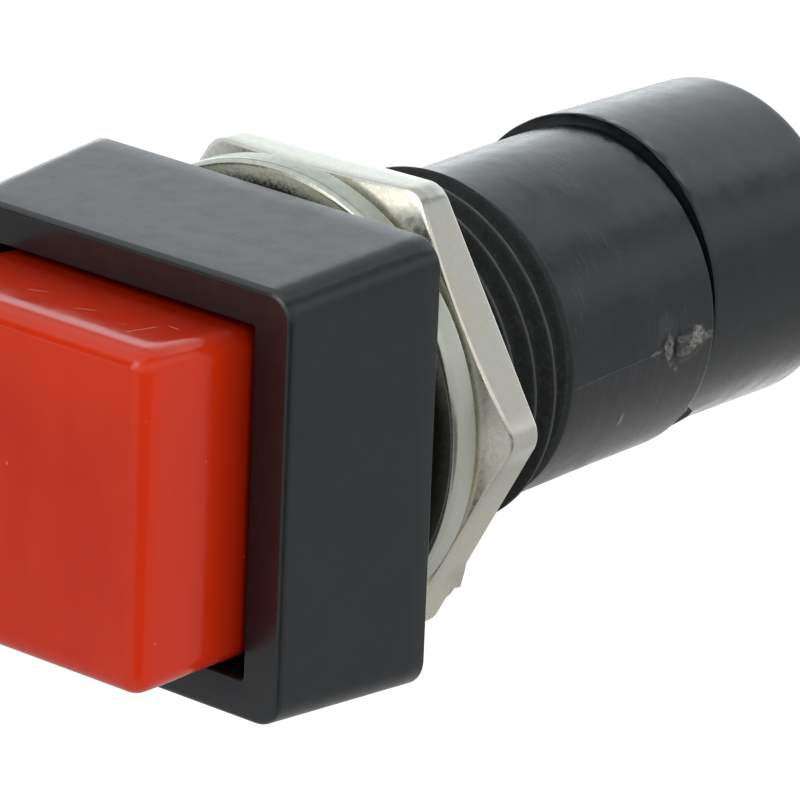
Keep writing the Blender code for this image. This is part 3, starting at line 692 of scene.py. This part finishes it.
def make_rear(material):
    """Rear moulding with its spigot, spring pocket and terminal slots."""
    angles = even_angles(288)
    lip = ragged(angles, 5, 25.0, 48.0)
    rings = [circle(POCKET_R, POCKET_END, angles), circle(POCKET_R, SPIGOT_FRONT, angles)]
    rings += [circle(SPIGOT_R - 0.2, SPIGOT_FRONT, angles), circle(SPIGOT_R, SPIGOT_FRONT + 0.2, angles)]
    rings.append(circle(SPIGOT_R, SHOULDER, angles))
    rings.append(rear_ring(REAR_R - 0.34, SHOULDER + 0.02, angles))
    rings.append(rear_ring(REAR_R - 0.12, SHOULDER + 0.02, angles))
    front = rear_ring(REAR_R - 0.03, SHOULDER, angles, LIP_OUT * lip)
    front[:, 1] -= LIP_AHEAD * np.maximum(lip, 0.0)
    rings.append(front)
    rings.append(rear_ring(REAR_R, SHOULDER + 0.05, angles, 0.03 * lip))
    rings.append(rear_ring(REAR_R, SHOULDER + REAR_ROUND, angles, 0.006 * lip))
    for part in np.linspace(0, 1, 30)[1:-1]:
        y = SHOULDER + REAR_ROUND + (REAR_END - REAR_EDGE - SHOULDER - REAR_ROUND) * part
        rings.append(rear_ring(REAR_R + (REAR_END_R - REAR_R) * part, y, angles))
    for inward, along in rounded_back(6, REAR_EDGE):
        rings.append(rear_ring(REAR_END_R - inward, REAR_END - along, angles))
    obj = loft("rear_visual", rings, False, material, "rear_black", "switch_body", "rear_housing")
    for side in (-1, 1):
        near, far = sorted((side * SLOT_NEAR, side * SLOT_FAR))
        low = np.array((near, SPIGOT_FRONT - 1, -SLOT_HALF))
        high = np.array((far, REAR_END + 2, SLOT_HALF))
        cut_box(obj, low, high)
    return obj


def cut_box(obj, low, high):
    """Cut a box, given in millimetres, out of an object and keep the result as its mesh."""
    corners = [[(low, high)[(i >> k) & 1][k] * MM for k in range(3)] for i in range(8)]
    sides = ((0, 2, 3, 1), (4, 5, 7, 6), (0, 1, 5, 4), (2, 6, 7, 3), (0, 4, 6, 2), (1, 3, 7, 5))
    mesh = bpy.data.meshes.new("cutter")
    mesh.from_pydata(corners, [], sides)
    cutter = bpy.data.objects.new("cutter", mesh)
    bpy.context.scene.collection.objects.link(cutter)
    modifier = obj.modifiers.new("slot", "BOOLEAN")
    modifier.operation = "DIFFERENCE"
    modifier.solver = "EXACT"
    modifier.object = cutter
    bpy.context.view_layer.update()
    made = bpy.data.meshes.new_from_object(obj.evaluated_get(bpy.context.evaluated_depsgraph_get()))
    obj.modifiers.clear()
    obj.data = made
    bpy.data.objects.remove(cutter)
    made.set_sharp_from_angle(angle=math.radians(SHARP_ANGLE))


def make_washer(material):
    """Thick plain washer with round edges rubbed smooth, loose on the thread and a little aslant."""
    angles = even_angles(COLUMNS)
    edge = WASHER_BACK_ROUND
    nose = WASHER_FRONT_ROUND
    rings = [circle(WASHER_BORE, WASHER_FRONT + 0.05, angles)]
    rings.append(circle(WASHER_BORE + 0.05, WASHER_FRONT, angles))
    for radius in np.linspace(WASHER_BORE + 0.05, WASHER_R - nose, 8)[1:-1]:
        rings.append(circle(radius, WASHER_FRONT, angles))
    for inward, along in rounded(8, nose):
        rings.append(circle(WASHER_R - inward, WASHER_FRONT + along, angles))
    for part in (0.33, 0.67):
        y = WASHER_FRONT + nose + (WASHER_BACK - WASHER_FRONT - nose - edge) * part
        rings.append(circle(WASHER_R, y, angles))
    for inward, along in rounded_back(5, edge):
        rings.append(circle(WASHER_R - inward, WASHER_BACK - along, angles))
    rings.append(circle(WASHER_BORE + 0.05, WASHER_BACK, angles))
    rings.append(circle(WASHER_BORE, WASHER_BACK - 0.05, angles))
    for ring in rings:
        ring[:, 1] += WASHER_TILT * ring[:, 0]
        ring[:, 0] += WASHER_SHIFT
    return loft("washer_visual", rings, True, material, "washer_zinc", "washer", "washer")


def hexagon(angles, flats, corner):
    """Distance from the axis to a hexagon with slightly rounded corners."""
    local = (angles - NUT_TURN + math.pi / 6) % (math.pi / 3) - math.pi / 6
    plain = flats / 2 / np.cos(local)
    reach = flats / 2 / math.cos(math.pi / 6) - corner / math.cos(math.pi / 6)
    away = math.pi / 6 - np.abs(local)
    arc = reach * np.cos(away) + np.sqrt(np.maximum(corner ** 2 - (reach * np.sin(away)) ** 2, 0.0))
    return np.where(np.abs(reach * np.sin(away)) < corner * 0.5, np.minimum(plain, arc), plain)


def make_nut(material):
    """Hexagonal nut with a turned chamfer in front and a helical internal thread."""
    corners = [30 + 60 * k + step * 0.55 for k in range(6) for step in range(-6, 6)]
    angles = np.sort(np.concatenate((even_angles(192), np.radians(corners) + 0.003))) + NUT_TURN
    side = hexagon(angles, NUT_FLATS, NUT_CORNER)
    burr = 0 * angles
    for degrees, width, sharpness, height in BURR:
        burr += height * np.exp(-((np.degrees(angles) - degrees) / width) ** sharpness)
    rings = []
    rows = 33
    for row in range(rows + 1):
        y = NUT_BACK - 0.25 - (NUT_BACK - NUT_FRONT - 0.5) * row / rows
        phase = y / PITCH - THREAD_PHASE - angles / TURN
        height = np.maximum.reduce([thread_height(phase + s) for s in (-0.12, 0.0, 0.12)])
        bore = ROOT_R + (CREST_R - ROOT_R) * height + NUT_THREAD_GAP
        rings.append(circle(np.maximum(NUT_MINOR, bore), y, angles))
    for radius in np.linspace(NUT_LEAD_R, NUT_CHAMFER_R, 5):
        rings.append(circle(radius, NUT_FRONT, angles))
    for part in (0.3, 0.6, 0.88):
        radius = NUT_CHAMFER_R + (side - NUT_CHAMFER_R) * part
        rings.append(circle(radius, NUT_FRONT + (radius - NUT_CHAMFER_R) * NUT_SLOPE, angles))
    edge = NUT_FRONT + (side - NUT_CHAMFER_R) * NUT_SLOPE
    rings.append(circle(side - 0.035, edge - 0.012, angles))
    rings.append(circle(side - 0.01, edge + 0.015, angles))
    for part in (0.0, 0.35, 0.7):
        y = edge + NUT_EDGE + (NUT_BACK - NUT_BACK_ROUND - edge - NUT_EDGE) * part
        rings.append(circle(side, y, angles))
    for inward, along in rounded_back(4, NUT_BACK_ROUND):
        rings.append(circle(side + burr - inward, NUT_BACK - along, angles))
    rings.append(circle(side - 0.4, NUT_BACK, angles))
    rings.append(circle(NUT_LEAD_R, NUT_BACK, angles))
    for ring in rings:
        ring[:, 2] += NUT_LIFT
    return loft("nut_visual", rings, True, material, "nut_nickel", "nut", "panel_nut")


def dress(names, material, bevel=0.0):
    """Give CAD nodes a material and soft edges."""
    for name in names:
        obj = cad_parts[name]
        obj.data.materials.clear()
        obj.data.materials.append(material)
        if bevel:
            modifier = obj.modifiers.new("edges", "BEVEL")
            modifier.width = bevel * MM
            modifier.segments = 3
            modifier.limit_method = "ANGLE"
            modifier.angle_limit = math.radians(40)


def dress_inside():
    """Materials of the pieces that keep their CAD shape."""
    dress(["plunger"], white_acetal(), 0.06)
    clip = plain_metal("clip_steel", (0.4, 0.4, 0.41), (0.56, 0.56, 0.57), 0.22, 0.36)
    dress(["retaining_clip"], clip, 0.03)
    wire = plain_metal("spring_steel_wire", (0.36, 0.36, 0.37), (0.52, 0.52, 0.53), 0.2, 0.34, 14.0, 0.002)
    dress(["return_spring", "contact_spring"], wire)
    dress(["contact_bridge"], plain_metal("bridge_brass", (0.58, 0.39, 0.13), (0.68, 0.5, 0.2), 0.22, 0.36,
                                          7.0, 0.003, (0.3, 1.0, 2.0)), 0.04)
    silver = plain_metal("contact_silver", (0.68, 0.67, 0.64), (0.82, 0.81, 0.78), 0.2, 0.34)
    dress([f"{kind}_contact_{side}" for kind in ("moving", "fixed") for side in ("left", "right")], silver)
    tin = plain_metal("terminal_tin_plate", (0.5, 0.5, 0.47), (0.68, 0.67, 0.63), 0.24, 0.42,
                      9.0, 0.004, (1.0, 0.25, 1.0))
    dress(["terminal_left", "terminal_right"], tin, 0.05)


def make_camera():
    """The photograph's camera, found from the edges of the switch."""
    data = bpy.data.cameras.new("camera")
    data.sensor_width = 36.0
    data.lens = 318.47
    data.clip_start = 0.01
    data.clip_end = 20.0
    camera = bpy.data.objects.new("camera", data)
    right = Vector((0.76273249, 0.64554604, 0.03885192))
    up = Vector((-0.24970759, 0.23855539, 0.93847613))
    back = Vector((0.59656121, -0.72550785, 0.34315169))
    place_at = Vector((138.57735, -161.17594, 78.09789)) * MM
    camera.matrix_world = Matrix((right, up, back)).transposed().to_4x4()
    camera.location = place_at
    bpy.context.scene.collection.objects.link(camera)
    bpy.context.scene.camera = camera


def seen_directly(tree):
    """1 for rays that show the background: camera, glossy and transmission rays."""
    path = tree.nodes.new("ShaderNodeLightPath")
    total = None
    for name in ("Is Camera Ray", "Is Glossy Ray", "Is Transmission Ray"):
        if total is None:
            total = path.outputs[name]
        else:
            node = tree.nodes.new("ShaderNodeMath")
            node.operation = "ADD"
            node.use_clamp = True
            tree.links.new(total, node.inputs[0])
            tree.links.new(path.outputs[name], node.inputs[1])
            total = node.outputs[0]
    return total


def make_world():
    """White surroundings to look at; as a light they are brighter all round than overhead."""
    world = bpy.data.worlds.new("studio")
    world.use_nodes = True
    bpy.context.scene.world = world
    tree = world.node_tree
    ground = tree.nodes["Background"]
    coords = tree.nodes.new("ShaderNodeTexCoord")
    parts = tree.nodes.new("ShaderNodeSeparateXYZ")
    tree.links.new(coords.outputs["Generated"], parts.inputs[0])
    height = tree.nodes.new("ShaderNodeMapRange")
    tree.links.new(parts.outputs[2], height.inputs["Value"])
    height.inputs["To Min"].default_value = WALL_LIGHT
    height.inputs["To Max"].default_value = CEILING_LIGHT
    span = tree.nodes.new("ShaderNodeMapRange")
    tree.links.new(seen_directly(tree), span.inputs["Value"])
    tree.links.new(height.outputs[0], span.inputs["To Min"])
    span.inputs["To Max"].default_value = 1.0
    tree.links.new(span.outputs[0], ground.inputs["Strength"])
    ground.inputs["Color"].default_value = (1.0, 1.0, 1.0, 1.0)


def flat_stage(name, corners, material):
    """A flat four-sided stage piece, in metres."""
    mesh = bpy.data.meshes.new(name)
    mesh.from_pydata(corners, [], [(0, 1, 2, 3)])
    mesh.materials.append(material)
    obj = bpy.data.objects.new(name, mesh)
    bpy.context.scene.collection.objects.link(obj)
    return obj


def make_floor():
    """Pale floor below the switch, which takes its soft shadow and shows white."""
    material = bpy.data.materials.new("floor")
    material.use_nodes = True
    tree = material.node_tree
    shader = tree.nodes["Principled BSDF"]
    shader.inputs["Base Color"].default_value = (0.8, 0.8, 0.8, 1.0)
    shader.inputs["Roughness"].default_value = 0.9
    shader.inputs["Specular IOR Level"].default_value = 0.0
    shader.inputs["Emission Color"].default_value = (1.0, 1.0, 1.0, 1.0)
    span = tree.nodes.new("ShaderNodeMapRange")
    tree.links.new(seen_directly(tree), span.inputs["Value"])
    span.inputs["To Min"].default_value = 0.0
    span.inputs["To Max"].default_value = 0.46
    tree.links.new(span.outputs[0], shader.inputs["Emission Strength"])
    s, z = 3.0, FLOOR_Z
    flat_stage("floor", [(-s, -s, z), (s, -s, z), (s, s, z), (-s, s, z)], material)


def grey_card(name, corners, axis, start, end, near, far, tint=(1.0, 1.0, 1.0)):
    """A card that only reflections see, its grey passing from one value to another along an axis."""
    material = bpy.data.materials.new(name)
    material.use_nodes = True
    tree = material.node_tree
    tree.nodes.remove(tree.nodes["Principled BSDF"])
    glow = tree.nodes.new("ShaderNodeEmission")
    glow.inputs["Color"].default_value = (*tint, 1.0)
    coords = tree.nodes.new("ShaderNodeTexCoord")
    parts = tree.nodes.new("ShaderNodeSeparateXYZ")
    span = tree.nodes.new("ShaderNodeMapRange")
    span.interpolation_type = "SMOOTHSTEP"
    tree.links.new(coords.outputs["Object"], parts.inputs[0])
    tree.links.new(parts.outputs[axis], span.inputs["Value"])
    for key, number in zip(("From Min", "From Max", "To Min", "To Max"), (start, end, near, far)):
        span.inputs[key].default_value = number
    tree.links.new(span.outputs[0], glow.inputs["Strength"])
    tree.links.new(glow.outputs[0], tree.nodes["Material Output"].inputs["Surface"])
    card = flat_stage(name, corners, material)
    card.visible_camera = False
    card.visible_diffuse = False
    card.visible_shadow = False


def make_cards():
    """Cards that the black sides and the metal mirror: grey on the floor and right, white at the back."""
    z = FLOOR_Z + 0.0005
    grey_card("floor_card", flat_on(z, -0.6, -0.6, 0.6, 0.6), 0, 0.004, 0.028, 0.51, 0.4)
    grey_card("front_card", flat_on(z + 0.001, -0.4, -0.4, -0.02, -0.03), 0, -0.05, -0.02, 0.36, 0.5)
    grey_card("dark_card", flat_on(z + 0.001, 0.01, -0.4, 0.4, -0.03), 0, 0.01, 0.045, 0.55, 0.1)
    grey_card("side_card_low", wall_along(0.35, -0.6, z, 0.9, 0.2), 2, 0.03, 0.2, 0.4, 0.7)
    grey_card("side_card_high", wall_along(0.35, -0.6, 0.2, 0.9, 0.9), 2, 0.24, 0.42, 0.7, 0.34)
    cool, warm = (0.95, 1.0, 1.03), (1.0, 0.95, 0.85)
    grey_card("back_card_high", wall_across(0.5, -1.3, 0.3, 0.195, 1.2), 2, 0.34, 0.46, 1.26, 0.6, cool)
    grey_card("back_card", wall_across(0.5, -1.3, z, 0.1, 0.3), 2, 0.0, 0.22, 2.3, 1.26, cool)
    grey_card("bright_card", wall_across(-0.36, -0.21, 0.005, -0.07, 0.115), 2, 0.0, 0.1, 2.2, 2.2, warm)
    grey_card("dim_card", wall_across(-0.34, -0.5, 0.005, -0.215, 0.28), 2, 0.13, 0.28, 0.05, 0.9)
    grey_card("rear_card", flat_on(z + 0.001, -0.3, 0.046, 0.0, 0.3), 1, 0.046, 0.056, 0.51, 1.45)


def flat_on(z, x0, y0, x1, y1):
    """Corners of a level rectangle."""
    return [(x0, y0, z), (x1, y0, z), (x1, y1, z), (x0, y1, z)]


def wall_across(y, x0, z0, x1, z1):
    """Corners of an upright rectangle that runs along X."""
    return [(x0, y, z0), (x1, y, z0), (x1, y, z1), (x0, y, z1)]


def wall_along(x, y0, z0, y1, z1):
    """Corners of an upright rectangle that runs along Y."""
    return [(x, y0, z0), (x, y1, z0), (x, y1, z1), (x, y0, z1)]


def area_light(name, place_at, target, size, power):
    """A soft square lamp aimed at a point, in metres."""
    data = bpy.data.lights.new(name, "AREA")
    data.shape = "SQUARE"
    data.size = size
    data.energy = power
    lamp = bpy.data.objects.new(name, data)
    lamp.location = place_at
    lamp.rotation_mode = "QUATERNION"
    lamp.rotation_quaternion = (Vector(target) - Vector(place_at)).to_track_quat("-Z", "Y")
    lamp.visible_camera = False
    bpy.context.scene.collection.objects.link(lamp)


def main():
    """Build the pieces, the light and the camera."""
    make_housing(black_plastic("housing_black_plastic", True))
    make_cap(red_plastic())
    make_rear(black_plastic("rear_black_plastic"))
    make_washer(washer_metal())
    make_nut(nut_metal())
    dress_inside()
    make_world()
    make_floor()
    make_cards()
    area_light("front_softbox", (-0.05, -0.4, 0.24), (0.0, 0.003, 0.0), 0.22, 0.3)
    area_light("side_softbox", (0.4, -0.06, 0.12), (0.0, -0.006, 0.0), 0.3, 0.3)
    make_camera()
    view = bpy.context.scene.view_settings
    view.view_transform = "Standard"


main()
